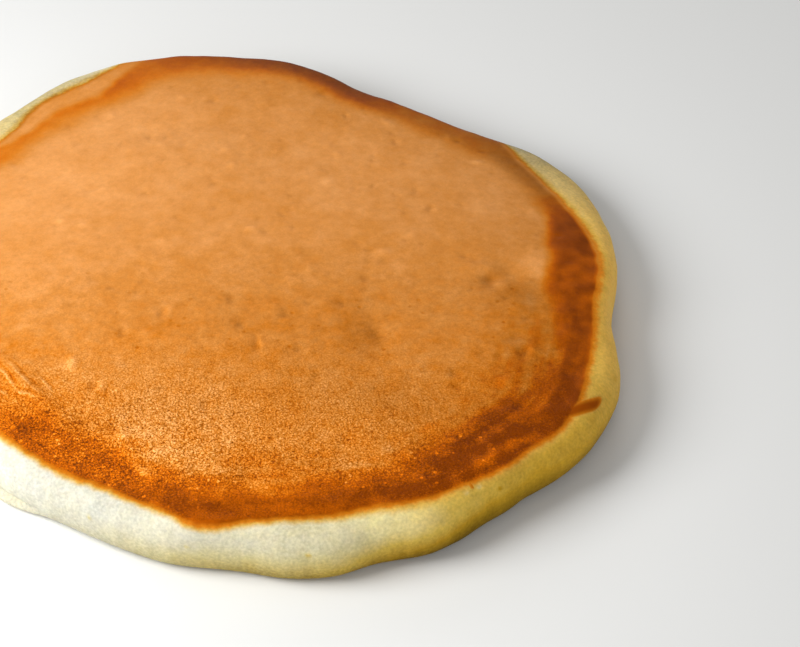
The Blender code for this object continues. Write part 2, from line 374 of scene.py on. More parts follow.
# Colours as they look on a screen, 0 to 255
CRUST_COLOURS = (
    (0.00, (216, 150, 87)),
    (0.22, (197, 126, 54)),
    (0.38, (196, 114, 28)),
    (0.52, (190, 98, 4)),
    (0.66, (172, 81, 0)),
    (0.84, (146, 67, 0)),
    (1.00, (124, 54, 0)),
)
SIDE_COLOURS = (
    (0.00, (210, 208, 194)),
    (0.3, (219, 206, 151)),
    (0.55, (219, 187, 88)),
    (0.8, (200, 156, 41)),
    (1.00, (162, 126, 24)),
)
BORDER_YELLOW = (209, 165, 70)
BORDER_ORANGE = (197, 116, 19)
TANNED_SIDE = (226, 176, 84)
FLOOR_COLOUR = (226, 226, 224)

# Here (from, to) or (from, to, at from, at to) says how a layer of the crust follows grain or toast.
# The grain: fine noise and crumbs, the share of the crumbs, what evens them out, and how toast weakens it
GRAIN_WAVELENGTH, CRUMB_WIDTH, CRUMB_SHARE, GRAIN_EVEN = 0.00024, 0.00037, -0.34, 0.23
GRAIN_BY_TOAST = (0.5, 0.85, 1.0, 0.8)
# Bright specks in the strongest grain, painted glints: cell width, size in a cell, which cells have one, by
# grain, by toast
GLINT_WIDTH, GLINT_SIZE, GLINT_PICK = 0.0011, (0.3, 0.14), (0.52, 0.6)
GLINT_BY_GRAIN, GLINT_BY_TOAST = (1.0, 1.9), (0.44, 0.7, 0.15, 1.0)
# Dark pores in the paler crust: the same
PORE_WIDTH, PORE_SIZE, PORE_PICK = 0.0015, (0.3, 0.1), (0.55, 0.9)
PORE_BY_GRAIN, PORE_BY_TOAST = (0.14, 0.32), (0.56, 0.42)
# Blotches and patches of tone, and soft spots of light
BLOTCH_WAVELENGTH, PATCH_WAVELENGTH, PATCH_BY_GRAIN = 0.009, 0.0028, (0.12, 0.36, 0.4, 1.0)
SOFT_WAVELENGTH, SOFT_BY_GRAIN = 0.0008, (0.1, 0.36, 0.22, 0.5)
# The strongest grain takes away from the soft spots.
SOFT_LOSS, SOFT_LOSS_BY_GRAIN = -0.27, (0.6, 2.2)
# Thin creases at the near left of the face: x, y, half-length, half-width, direction, strength
CREASES = (
    (-0.0354, -0.0242, 0.0036, 0.00036, 126, 1),
    (-0.0325, -0.0276, 0.0024, 0.00034, 148, 0.9),
    (-0.033, -0.0244, 0.0052, 0.00042, 129, 0.7),
    (-0.0294, -0.0259, 0.0025, 0.0003, 124, 0.7),
    (-0.0358, -0.027, 0.0018, 0.00034, 148, 0.8),
)
# How far sideways they wander, and from which share of its half-length each fades
CREASE_BEND, CREASE_BEND_WAVELENGTH = 0.0012, 0.003
CREASE_FADE = 0.4
# How many half-widths beside each its hollow lies, which is darkened as painted shadow
HOLLOW_AND_SHADOW_BESIDE = 1.8
# What each layer adds to the crust's tone, to its light and to its height
CRUST_LAYERS = {
    "grain": (-0.38, 0.82, 1.0),
    # Painted glints: paler and brighter specks.
    "painted_glint": (-0.3, 0.5, 0.0),
    "pore": (0.14, -0.15, -0.6),
    "crease": (-0.26, 0.16, 0.8),
    # The dip beside each crease: lower in height, and darker with painted shadow.
    "hollow_and_shadow": (0.16, -0.12, -0.6),
    "blotch": (0.2, 0.0, 0.0),
    "patch": (-0.3, 0.16, 0.0),
    "soft": (0.0, 1.0, 0.7),
    "shade": (0.15, -0.8, 0.0),
    "lightening": (0.3, 0.0, 0.0),
}
# Wavelengths and strengths of the noise in the pale side's depth, and of fine and upright noise in its light
PALE_WAVELENGTH, PALE_UNEVEN = 0.003, 0.15
FINE_LIGHT_WAVELENGTH, FINE_LIGHT = 0.00045, 0.56
UPRIGHT_WAVELENGTH, UPRIGHT_STRETCH, UPRIGHT_LIGHT = 0.0018, (1, 1, 0.3), 0.36
# How ragged the border's colours are
FRAYED_WAVELENGTH, FRAYED = 0.0012, 0.0007
# Roughness of the side, and of the crust by its toast
SIDE_ROUGHNESS, CRUST_ROUGHNESS = 0.6, (0.2, 0.9, 0.55, 0.42)
BUMP_HEIGHT, SIDE_BUMP, SIDE_BUMP_WAVELENGTH = 0.00008, 0.3, 0.0007
GLOSS = 0.03
# How far light goes into the side and the crust: share, in red, green and blue, and in metres
SIDE_DEPTH_OF_LIGHT, CRUST_DEPTH_OF_LIGHT = 0.3, 0.04
LIGHT_REACH_BY_COLOUR, LIGHT_REACH = (1.0, 0.6, 0.25), 0.003


def lobes(direction, values):
    """What a list of soft swellings adds up to in each direction, given in radians."""
    total = np.zeros_like(direction)
    for centre, rise, spread in values:
        away = (direction - math.radians(centre) + math.pi) % (2 * math.pi) - math.pi
        total += rise * np.exp(-0.5 * (away / math.radians(spread)) ** 2)
    return total


def smooth_step(low, high, value):
    """0 below low, 1 above high, and a soft rise between them."""
    share = np.clip((value - low) / (high - low), 0, 1)
    return share * share * (3 - 2 * share)


def outline_radius(direction):
    oval = OVAL_STRETCH * np.cos(2 * (direction - math.radians(OVAL_DIRECTION)))
    return MEAN_RADIUS + oval + lobes(direction, OUTLINE_LOBES)


def edge_radius(direction):
    """Where the browned face ends."""
    return outline_radius(direction) - EDGE_INSET - lobes(direction, EDGE_INSET_LOBES)


def edge_height(direction):
    return EDGE_HEIGHT + lobes(direction, EDGE_HEIGHT_LOBES)


def widest_height(direction):
    return WIDEST_HEIGHT + lobes(direction, WIDEST_HEIGHT_LOBES)


def foot_radius(direction):
    return outline_radius(direction) - FOOT_TUCK - lobes(direction, FOOT_TUCK_LOBES)


def lip_share(direction):
    """1 along the skirt of batter, 0 elsewhere."""
    degrees = np.degrees(direction) % 360
    rise = smooth_step(LIP_START - LIP_FADE, LIP_START + LIP_FADE, degrees)
    return rise * (1 - smooth_step(LIP_END - LIP_FADE, LIP_END + LIP_FADE, degrees))


def bell(value, middle, softness):
    return np.exp(-(((value - middle) / softness) ** 2))


def with_lip(radius, height, direction):
    """Pushes the foot of the side out into the lip and cuts the groove above it."""
    out = LIP_REACH * bell(height, LIP_HEIGHT, LIP_SOFTNESS)
    groove = GROOVE_DEPTH * bell(height, GROOVE_HEIGHT, LIP_SOFTNESS)
    return radius + lip_share(direction) * (out - groove)


def bezier(handles, share):
    """Points on the cubic curves through four handles."""
    rest = 1 - share
    weights = (rest**3, 3 * rest**2 * share, 3 * rest * share**2, share**3)
    return sum(weight * handle for weight, handle in zip(weights, handles))


def side_row(direction, row):
    """(radii, heights) of one row round the side: row 0 is the browned edge and the last is the foot."""
    outer, widest = outline_radius(direction), widest_height(direction)
    if row <= SHOULDER_ROWS:
        share = row / SHOULDER_ROWS
        edge, top = edge_radius(direction), edge_height(direction)
        along = SHOULDER_FULLNESS * (outer - edge)
        radius = bezier((edge, edge + along, outer, outer), share)
        upper = widest + SHOULDER_FULLNESS * (top - widest)
        height = bezier((top, top - EDGE_SLOPE * along, upper, widest), share)
    else:
        share = (row - SHOULDER_ROWS) / BELLY_ROWS
        foot = foot_radius(direction)
        radius = bezier((outer, outer, foot + BELLY_FULLNESS * (outer - foot), foot), share)
        height = bezier((widest, widest * (1 - BELLY_FULLNESS), 0, 0), share)
    return with_lip(radius, height, direction), height


def soft_oval(x, y, half_length, half_width, turned):
    """1 in the middle of an oval, and softly down to 0 round it."""
    turn = math.radians(turned)
    along = (x * math.cos(turn) + y * math.sin(turn)) / half_length
    across = (y * math.cos(turn) - x * math.sin(turn)) / half_width
    return np.exp(-(along**2) - across**2)


def face_height(x, y, share, direction):
    """Height of the browned face, where share is the distance from the middle out to its edge, 0 to 1."""
    dome = MIDDLE_HEIGHT + (edge_height(direction) - MIDDLE_HEIGHT) * share**DOME_POWER
    relief = 0
    for cx, cy, rise, *oval in FACE_RELIEF:
        relief += rise * soft_oval(x - cx, y - cy, *oval)
    return dome + relief * (1 - share**RELIEF_POWER)


class Disc:
    """A square grid drawn into a circle, with each point's share of the radius and direction.

    The rim runs anticlockwise, in even steps of direction, from -45 degrees.
    """

    def __init__(self, cells):
        line = np.linspace(-1, 1, cells + 1)
        x, y = np.meshgrid(line, line)
        wide = np.abs(x) >= np.abs(y)
        on_x = np.where(x == 0, 1, x)
        on_y = np.where(y == 0, 1, y)
        by_x = math.pi / 4 * y / on_x + np.where(x < 0, math.pi, 0)
        by_y = math.pi / 2 - math.pi / 4 * x / on_y + np.where(y < 0, math.pi, 0)
        index = np.arange((cells + 1) ** 2).reshape(cells + 1, cells + 1)
        corners = (index[:-1, :-1], index[:-1, 1:], index[1:, 1:], index[1:, :-1])
        self.share = np.maximum(np.abs(x), np.abs(y)).ravel()
        self.direction = np.where(wide, by_x, by_y).ravel()
        self.quads = np.stack(corners, -1).reshape(-1, 4)
        sides = (index[:-1, -1], index[-1, :0:-1], index[:0:-1, 0], index[0, :-1])
        self.rim = np.concatenate(sides)


def polar(radius, direction, height):
    return np.stack((radius * np.cos(direction), radius * np.sin(direction), height), -1)


class Form:
    """The pancake's smooth form, and what the finish needs to know of each point.

    inward is the way along the surface from the browned edge: above 0 on the face, below 0 on the side.
    The points run from the face down the side, row by row, to the foot and on to the underside.
    """

    def __init__(self):
        self.parts, self.faces = [], []
        face = Disc(FACE_CELLS)
        self.foot = self.add_side(face, self.add_face(face))
        self.first_under_face = len(self.faces)
        self.first_under_point = self.add_underside(Disc(UNDER_CELLS))
        points, directions, inwards = zip(*self.parts)
        self.points = np.concatenate(points)
        self.direction = np.concatenate(directions)
        self.inward = np.concatenate(inwards)

    def add(self, points, direction, inward):
        """Adds a part's points and returns their numbers."""
        first = sum(len(part[0]) for part in self.parts)
        self.parts.append((points, direction, inward))
        return first + np.arange(len(points))

    def add_face(self, disc):
        """Adds the browned face. Returns its points round the rim."""
        edge = edge_radius(disc.direction)
        reach = disc.share * edge
        x, y = reach * np.cos(disc.direction), reach * np.sin(disc.direction)
        height = face_height(x, y, disc.share, disc.direction)
        points = polar(reach, disc.direction, height)
        self.add(points, disc.direction, edge - reach)
        self.faces += disc.quads.tolist()
        return points[disc.rim]

    def add_side(self, disc, last):
        """Draws the side down from the rim's points, row by row. Returns its foot's numbers."""
        direction, ring = disc.direction[disc.rim], disc.rim
        down = np.zeros_like(direction)
        for row in range(1, SHOULDER_ROWS + BELLY_ROWS + 1):
            radius, height = side_row(direction, row)
            here = polar(radius, direction, height)
            down += np.linalg.norm(here - last, axis=1)
            below = self.add(here, direction, -down)
            self.faces += np.stack((ring, below, np.roll(below, -1), np.roll(ring, -1)), -1).tolist()
            ring, last = below, here
        return ring

    def add_underside(self, disc):
        """Closes the form inside the foot, which has two points for each one of the disc's rim."""
        outer = foot_radius(disc.direction)
        reach = UNDER_SHARE * disc.share * outer
        numbers = self.add(polar(reach, disc.direction, np.zeros_like(reach)), disc.direction, outer - reach)
        self.faces += numbers[disc.quads[:, ::-1]].tolist()
        rim = numbers[disc.rim].tolist()
        foot = self.foot.tolist()
        for j, near in enumerate(rim):
            left, middle, right = foot[2 * j], foot[2 * j + 1], foot[(2 * j + 2) % len(foot)]
            far = rim[(j + 1) % len(rim)]
            self.faces += [(left, near, middle), (middle, near, far), (middle, far, right)]
        return numbers[0]


def noise_at(points, wavelength, seed):
    """Smooth noise from about -1 to 1 at each point."""
    start = Vector((seed, 2 * seed, 3 * seed))
    return np.array([noise.noise(Vector(point) / wavelength + start) for point in points])


def marks(points):
    """(rise, darkening) that the small marks add up to at each point, the darkening partly painted shade and
    painted light.
    """
    random = np.random.default_rng(MARKS_SEED)
    every = list(MARKS)
    for count, radii, rises, tones in (PITS, LUMPS):
        for _ in range(count):
            reach, turn = MARKS_REACH * math.sqrt(random.random()), random.uniform(0, 2 * math.pi)
            radius = radii[0] + (radii[1] - radii[0]) * random.random() ** 2
            stretch = random.uniform(*MARKS_STRETCH)
            place = (reach * math.cos(turn), reach * math.sin(turn))
            shape = (random.uniform(*rises), radius * stretch, radius, random.uniform(0, 180))
            every.append(place + shape + (random.uniform(*tones),))
    rise, tone = np.zeros(len(points)), np.zeros(len(points))
    for cx, cy, height, *oval, darker in every:
        share = soft_oval(points[:, 0] - cx, points[:, 1] - cy, *oval)
        rise += height * share
        tone += darker * share
    return rise, tone


def at_front(form):
    """1 round the front of the pancake, 0 round its back."""
    return smooth_step(*FRONT_RISE, np.sin(form.direction))


def coarseness(form):
    """How lumpy the browned face is: most just inside the ring at the front."""
    return 1 + COARSE_GAIN * at_front(form) * bell(form.inward, COARSE_MIDDLE, COARSE_WIDTH)


def fine_relief(form, rise):
    """How far each point stands out from the smooth form, where rise is what the marks add."""
    points = form.points
    on_face = smooth_step(*FACE_RELIEF_RISE, form.inward)
    on_side = (1 - on_face) * smooth_step(*SIDE_RELIEF_RISE, points[:, 2])
    swell = SWELL_HEIGHT * noise_at(points, SWELL_WAVELENGTH, seed=1)
    ripple = RIPPLE_HEIGHT * noise_at(points, RIPPLE_WAVELENGTH, seed=2)
    peel = PEEL_HEIGHT * noise_at(points, PEEL_WAVELENGTH, seed=3)
    lump = LUMP_HEIGHT * noise_at(points, LUMP_WAVELENGTH, seed=4)
    flute = FLUTE_HEIGHT * noise_at(points * FLUTE_STRETCH, FLUTE_WAVELENGTH, seed=9)
    relief = on_face * (swell + (ripple + peel) * coarseness(form) + rise)
    relief += on_side * (lump + flute + SIDE_RIPPLE * ripple)
    relief[form.first_under_point:] = 0
    relief[form.foot] = 0
    return relief


def round_the_ring(direction, column):
    """A column of RING at each direction, eased between its rows."""
    stops = [row[0] for row in RING]
    values = [row[column] for row in RING]
    return np.interp(np.degrees(direction), stops, values, period=360)


def smudges(form):
    """0 to 1: the smudges of crust on the side."""
    degrees = np.degrees(form.direction) % 360
    total = np.zeros_like(degrees)
    for leaves, reach, half_width, lean, strength in SMUDGES:
        out = -form.inward / reach
        away = np.radians(degrees - leaves - lean * np.clip(out, 0, SMUDGE_LEAN_END)) * MEAN_RADIUS
        along = smooth_step(*SMUDGE_START, out) * (1 - smooth_step(*SMUDGE_END, out))
        across = away / (half_width * (1 + SMUDGE_ROOT * (1 - np.clip(out, 0, 1))))
        total += strength * along * np.exp(-(across**2))
    return total


class Browning:
    """How each point is browned, where darker is what the small marks add to its darkness.

    border is how far it lies inside the crust's border, toast how dark its crust is, 0 to 1,
    and shade how much its colour is dimmed.
    """

    def __init__(self, form, darker):
        self.form, self.darker = form, darker
        self.direction, self.inward = form.direction, form.inward
        self.coarse = noise_at(form.points, COARSE_WAVELENGTH, seed=5)
        self.middling = noise_at(form.points, MIDDLING_WAVELENGTH, seed=6)
        self.fine = noise_at(form.points, FINE_WAVELENGTH, seed=7)
        outside = BORDER + lobes(self.direction, BORDER_LOBES)
        self.border = self.inward + outside + BORDER_RAGGED * self.middling
        self.ring = self.toasted_ring()
        near = 1 - smooth_step(*DUSK_FADE, self.inward)
        self.dusk = lobes(self.direction, DUSK_LOBES) * (1 - self.ring) * near
        self.toast = self.toast_of_crust() + self.streaks()
        self.shade = self.shade_of_all()

    def on_edge(self):
        """The points moved out to a level circle, so that only their direction counts."""
        radius = np.full_like(self.direction, MEAN_RADIUS)
        return polar(radius, self.direction, np.zeros_like(radius))

    def toasted_ring(self):
        """0 to 1: the toasted ring inside the border."""
        crisp, start = lobes(self.direction, CRISP_LOBES), lobes(self.direction, RING_START_LOBES)
        uneven = RING_UNEVEN * noise_at(self.on_edge(), UNEVEN_WAVELENGTH, seed=8)
        uneven = (uneven + RING_COARSE * self.coarse) * (1 - CRISP_EVEN * crisp)
        ragged = (RAGGED_MIDDLING * self.middling + RAGGED_FINE * self.fine) * (1 - CRISP_CLEAN * crisp)
        reach = (self.inward + ragged) / (round_the_ring(self.direction, RING_WIDTH) * (1 + uneven))
        ends = [end + change * crisp for end, change in zip(RING_END, CRISP_END)]
        full = RING_RISE[1] + RING_START_SOFTNESS * start
        rise = smooth_step(RING_RISE[0], full, self.border - RING_START_SHIFT * start)
        return rise * (1 - smooth_step(*ends, reach))

    def toast_of_crust(self):
        """How dark the crust is without its streaks."""
        # The back and left are paler with painted sheen.
        back = BACK_PAINTED_SHEEN * smooth_step(*BACK_RISE, self.form.points[:, 1])
        left = LEFT_PAINTED_SHEEN * smooth_step(*LEFT_RISE, self.form.points[:, 0])
        golden = np.exp(-np.maximum(self.inward, 0) / GOLDEN_REACH)
        toast = MIDDLE_TOAST - back - left + round_the_ring(self.direction, RING_GOLDEN) * golden
        mottled = MOTTLED_MIDDLING + MOTTLED_FRONT * at_front(self.form)
        mottled = 1 + mottled * self.middling + MOTTLED_COARSE * self.coarse
        toast += self.ring * mottled * (round_the_ring(self.direction, RING_TONE) - toast)
        toast += MOTTLED_CRUST * (self.coarse + (self.middling + self.fine) * coarseness(self.form))
        smudged = smudges(self.form) * smooth_step(*SMUDGE_TOAST_FADE, self.inward)
        return toast + DUSK_TOAST * self.dusk + SMUDGE_TOAST * smudged

    def streaks(self):
        """How much darker the drawn-out streaks make the crust."""
        along_edge = self.on_edge() / STREAK_STRETCH + self.inward[:, None] * (0, 0, 1)
        uneven = noise_at(along_edge, STREAK_WAVELENGTH, seed=10)
        uneven += FINER_STREAKS * noise_at(along_edge, STREAK_WAVELENGTH / 2, seed=12)
        strength = lobes(self.direction, STREAK_LOBES) * bell(self.inward, STREAKS_MIDDLE, STREAKS_WIDTH)
        return STREAK_DARKNESS * strength * (smooth_step(*STREAK_RISE, uneven) - EVEN_STREAK)

    def shade_of_all(self):
        """The side's shade, and on the crust that of the marks, the dusk and the dim ring."""
        dim_ring = lobes(self.direction, RING_DIM_LOBES) * smooth_step(RING_DIM_REACH, 0, self.inward)
        on_crust = (self.darker + self.dusk) * smooth_step(*MARKS_RISE, self.inward) + self.ring * dim_ring
        crust = smooth_step(*SHADE_CHANGE, self.border)
        return side_shade(self.form) * (1 - crust) + on_crust * crust

    def border_drawn_down(self):
        """border, smaller on the side where the border's colours run further down."""
        wide = 1 + lobes(self.direction, WIDE_BORDER_LOBES)
        return self.border / np.where(self.inward < 0, wide, 1)


def foot_and_flank(form, foot_fade, flank_fade):
    """How far each point belongs to the side's foot, and to its deeper lower half."""
    height, direction = form.points[:, 2], form.direction
    foot = (1 - smooth_step(*foot_fade, height)) * (1 - lobes(direction, PALE_FOOT_LOBES))
    return foot, lobes(direction, FLANK_LOBES) * (1 - smooth_step(*flank_fade, height))


def side_shade(form):
    """How much painted shade darkens the side: at its foot, on its flanks, and wherever all of it is dim;
    below 0 it is painted light.
    """
    foot, flank = foot_and_flank(form, FOOT_SHADE_FADE, FLANK_SHADE_FADE)
    return 1 - (1 - FOOT_SHADE * foot) * (1 - flank) * (1 - lobes(form.direction, DIM_LOBES))


def side_depth(form):
    """How deep the side's colour is, partly painted shade, with its small pores and pale spots of painted
    highlight.
    """
    foot, flank = foot_and_flank(form, FOOT_DEPTH_FADE, FLANK_DEPTH_FADE)
    depth = FOOT_DEPTH * foot + FLANK_DEPTH * flank + lobes(form.direction, DEPTH_LOBES)
    for middle, below, radius, deeper in SIDE_MARKS:
        away = (form.direction - math.radians(middle) + math.pi) % (2 * math.pi) - math.pi
        depth += deeper * bell(np.hypot(away * MEAN_RADIUS, form.inward + below), 0, radius)
    return depth


def tanned(form):
    """0 to 1: where the side is tanned."""
    return np.clip(lobes(form.direction, TAN_LOBES), 0, 1) * smooth_step(*TAN_FADE, form.inward)


def grain_strength(form):
    """How strongly the crust's grain shows: most along a belt across the front."""
    x, y = form.points[:, 0], form.points[:, 1]
    belt = smooth_step(*BELT_RISE, y) * (1 - BELT_DROP * smooth_step(*BELT_END, y))
    belt *= 1 + BELT_CHANGE * (smooth_step(*BELT_LEFT, x) - smooth_step(*BELT_RIGHT, x))
    grain = BACK_GRAIN + (MIDDLE_GRAIN - BACK_GRAIN) * smooth_step(*MIDDLE_GRAIN_RISE, y)
    grain += (FRONT_GRAIN - MIDDLE_GRAIN) * belt
    return grain * smooth_step(*GRAIN_RISE, form.inward)


def map_of(form):
    """Texture map: the face and side as one round island, the underside as a smaller one."""
    radius = np.hypot(form.points[:, 0], form.points[:, 1])
    spread = np.where(form.inward < 0, edge_radius(form.direction) - form.inward, radius)
    across = np.stack((np.cos(form.direction), np.sin(form.direction)), -1)
    widest = spread[:form.first_under_point].max()
    upper = UPPER_MIDDLE + across * (spread / widest * UPPER_RADIUS)[:, None]
    lower = LOWER_MIDDLE + across * (radius / radius.max() * LOWER_RADIUS)[:, None] * (-1, 1)
    return upper, lower


def add_map(mesh, form):
    corner = np.empty(len(mesh.loops), int)
    mesh.loops.foreach_get("vertex_index", corner)
    upper, lower = map_of(form)
    under = np.zeros(len(mesh.loops), bool)
    under[mesh.polygons[form.first_under_face].loop_start:] = True
    places = np.where(under[:, None], lower[corner], upper[corner])
    mesh.uv_layers.new(name="OFBake").data.foreach_set("uv", places.ravel())


def add_finish(mesh, form, darker):
    """Gives each point what the material needs to know of it, where darker is what the marks add."""
    browning = Browning(form, darker)
    finish = {
        "border": browning.border_drawn_down(),
        "toast": browning.toast,
        "shade": browning.shade,
        "depth": side_depth(form),
        "grain": grain_strength(form),
        "smudge": smudges(form),
        "tanned": tanned(form),
    }
    for name, values in finish.items():
        layer = mesh.attributes.new(name, "FLOAT", "POINT")
        layer.data.foreach_set("value", values.astype(np.float32))


def build_pancake():
    form = Form()
    mesh = bpy.data.meshes.new("pancake_crumb_and_crust")
    mesh.from_pydata(form.points.tolist(), [], form.faces)
    mesh.update()
    normals = np.empty(len(form.points) * 3)
    mesh.vertices.foreach_get("normal", normals)
    rise, darker = marks(form.points)
    points = form.points + normals.reshape(-1, 3) * fine_relief(form, rise)[:, None]
    middle = (points[:, :2].min(0) + points[:, :2].max(0)) / 2
    points[:, :2] -= middle
    points = np.clip(points, tuple(CAD_LOW), tuple(CAD_HIGH))
    mesh.vertices.foreach_set("co", points.ravel())
    mesh.update()
    mesh.shade_smooth()
    add_finish(mesh, form, darker)
    add_map(mesh, form)

    pancake = bpy.data.objects.new("baked_pancake", mesh)
    bpy.context.scene.collection.objects.link(pancake)
    pancake.data.materials.append(baked_material(middle))
    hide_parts("pancake")
    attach(pancake, "root")


def screen_colour(colour):
    """A colour seen on a screen, 0 to 255, as the linear values that shaders use."""
    parts = [part / 255 for part in colour]
    return tuple(p / 12.92 if p <= 0.04045 else ((p + 0.055) / 1.055) ** 2.4 for p in parts) + (1,)


class Nodes:
    """Short words for building a material's nodes."""

    def __init__(self, name):
        self.material = bpy.data.materials.new(name)
        self.material.use_nodes = True
        self.tree = self.material.node_tree
        self.shader = self.tree.nodes["Principled BSDF"]

    def add(self, kind, output=0, inputs=(), **settings):
        """Makes a node, links or sets its inputs, and returns one of its outputs."""
        node = self.tree.nodes.new(kind)
        for key, value in settings.items():
            setattr(node, key, value)
        for key, value in dict(inputs).items():
            self.feed(node.inputs[key], value)
        return node.outputs[output]

    def feed(self, socket, value):
        if isinstance(value, bpy.types.NodeSocket):
            self.tree.links.new(value, socket)
        else:
            socket.default_value = value

    def feed_shader(self, inputs):
        for name, value in inputs.items():
            self.feed(self.shader.inputs[name], value)

    def attribute(self, name):
        return self.add("ShaderNodeAttribute", "Fac", attribute_name=name)

    def place(self, stretch=(1, 1, 1)):
        """Where a point is on the pancake, with its axes stretched."""
        here = self.add("ShaderNodeTexCoord", "Object")
        return self.add("ShaderNodeVectorMath", 0, {0: here, 1: stretch}, operation="MULTIPLY")

    def noise(self, wavelength, detail=2, roughness=0.5, stretch=(1, 1, 1)):
        """Smooth noise from -0.5 to 0.5."""
        place = self.place(stretch)
        inputs = {"Vector": place, "Scale": 1 / wavelength, "Detail": detail, "Roughness": roughness}
        return self.math("SUBTRACT", self.add("ShaderNodeTexNoise", "Fac", inputs), 0.5)

    def line(self, place, half_length, half_width, direction, bend):
        """1 along a thin line on the pancake, 0 away from it, where bend shifts it sideways."""
        here = self.add("ShaderNodeTexCoord", "Object")
        here = self.add("ShaderNodeVectorMath", 0, {0: here, 1: place}, operation="SUBTRACT")
        turned = {"Vector": here, "Angle": -math.radians(direction)}
        here = self.add("ShaderNodeVectorRotate", 0, turned, rotation_type="Z_AXIS")
        along = self.math("ABSOLUTE", self.add("ShaderNodeSeparateXYZ", "X", {0: here}))
        across = self.math("ADD", self.add("ShaderNodeSeparateXYZ", "Y", {0: here}), bend)
        beside = self.remap(self.math("ABSOLUTE", across), half_width, 0.0)
        return self.product(beside, self.remap(along, half_length, CREASE_FADE * half_length))

    def cells(self, width, output):
        """Crowded round cells: the Distance from the middle of each, or a random Color for each."""
        return self.add("ShaderNodeTexVoronoi", output, {"Vector": self.place(), "Scale": 1 / width})

    def spots(self, width, size, pick):
        """1 in the middle of some of the cells, 0 elsewhere."""
        spot = self.remap(self.cells(width, "Distance"), *size)
        return self.product(spot, self.remap(self.cells(width, "Color"), *pick))

    def sum(self, base, *terms):
        """base plus the product of each (factor, value) pair."""
        for factor, value in terms:
            base = self.math("MULTIPLY_ADD", factor, value, base)
        return base

    def product(self, first, *others):
        for other in others:
            first = self.math("MULTIPLY", first, other)
        return first

    def scaled(self, colour, factor):
        return self.add("ShaderNodeVectorMath", 0, {0: colour, 3: factor}, operation="SCALE")

    def math(self, operation, first, second=0.0, third=0.0):
        inputs = {0: first, 1: second, 2: third}
        return self.add("ShaderNodeMath", 0, inputs, operation=operation)

    def remap(self, value, low, high, to_low=0.0, to_high=1.0):
        inputs = {"Value": value, "From Min": low, "From Max": high, "To Min": to_low, "To Max": to_high}
        return self.add("ShaderNodeMapRange", 0, inputs, interpolation_type="SMOOTHSTEP")

    def ramp(self, value, colours):
        node = self.tree.nodes.new("ShaderNodeValToRGB")
        points = node.color_ramp.elements
        while len(points) < len(colours):
            points.new(0.5)
        for point, (position, colour) in zip(points, colours):
            point.position = position
            point.color = screen_colour(colour)
        self.feed(node.inputs[0], value)
        return node.outputs[0]

    def mix(self, share, first, second):
        node = self.tree.nodes.new("ShaderNodeMix")
        node.data_type = "RGBA"
        for socket, value in zip((node.inputs[0], node.inputs[6], node.inputs[7]), (share, first, second)):
            self.feed(socket, value)
        return node.outputs[2]


def creases(n, middle):
    """0 to 1 along the thin creases, and along the dip beside each, darkened as painted shadow, in that
    order.

    middle is the point of the form that was moved over the origin.
    """
    bend = n.product(n.noise(CREASE_BEND_WAVELENGTH), CREASE_BEND)
    crease = hollow_and_shadow = 0.0
    for x, y, half_length, half_width, direction, strength in CREASES:
        place = (x - middle[0], y - middle[1], 0)
        beside = n.math("ADD", bend, HOLLOW_AND_SHADOW_BESIDE * half_width)
        crease = n.sum(crease, (strength, n.line(place, half_length, half_width, direction, bend)))
        hollow_and_shadow = n.sum(hollow_and_shadow, (strength, n.line(place, half_length, half_width, direction, beside)))
    return crease, hollow_and_shadow


def crust_layers(n, toast, middle):
    """The layers of the crust's texture, by their names in CRUST_LAYERS."""
    grain, shade = n.attribute("grain"), n.attribute("shade")
    crease, hollow_and_shadow = creases(n, middle)
    crumbs = n.sum(n.noise(GRAIN_WAVELENGTH, roughness=0.7), (CRUMB_SHARE, n.cells(CRUMB_WIDTH, "Distance")))
    crumbs = n.math("ADD", crumbs, GRAIN_EVEN)
    # The bright specks are painted glints.
    painted_glint = n.product(n.spots(GLINT_WIDTH, GLINT_SIZE, GLINT_PICK), n.remap(grain, *GLINT_BY_GRAIN))
    pore = n.product(n.spots(PORE_WIDTH, PORE_SIZE, PORE_PICK), n.remap(grain, *PORE_BY_GRAIN))
    softness = n.sum(n.remap(grain, *SOFT_BY_GRAIN), (SOFT_LOSS, n.remap(grain, *SOFT_LOSS_BY_GRAIN)))
    return {
        "grain": n.product(crumbs, grain, n.remap(toast, *GRAIN_BY_TOAST)),
        "painted_glint": n.product(painted_glint, n.remap(toast, *GLINT_BY_TOAST)),
        "pore": n.product(pore, n.remap(toast, *PORE_BY_TOAST)),
        "crease": crease,
        "hollow_and_shadow": hollow_and_shadow,
        "blotch": n.noise(BLOTCH_WAVELENGTH, detail=3, roughness=0.55),
        "patch": n.product(n.noise(PATCH_WAVELENGTH), n.remap(grain, *PATCH_BY_GRAIN)),
        "soft": n.product(n.noise(SOFT_WAVELENGTH, detail=3), softness),
        "shade": shade,
        "lightening": n.math("MINIMUM", shade, 0.0),
    }


def browned_crust(n, toast, middle):
    """(colour, height) of the crust."""
    layers = crust_layers(n, toast, middle)
    sums = [toast, 1.0, 0.0]
    for name, weights in CRUST_LAYERS.items():
        for column, weight in enumerate(weights):
            if weight:
                sums[column] = n.sum(sums[column], (weight, layers[name]))
    tone, light, height = sums
    return n.scaled(n.ramp(tone, CRUST_COLOURS), light), height


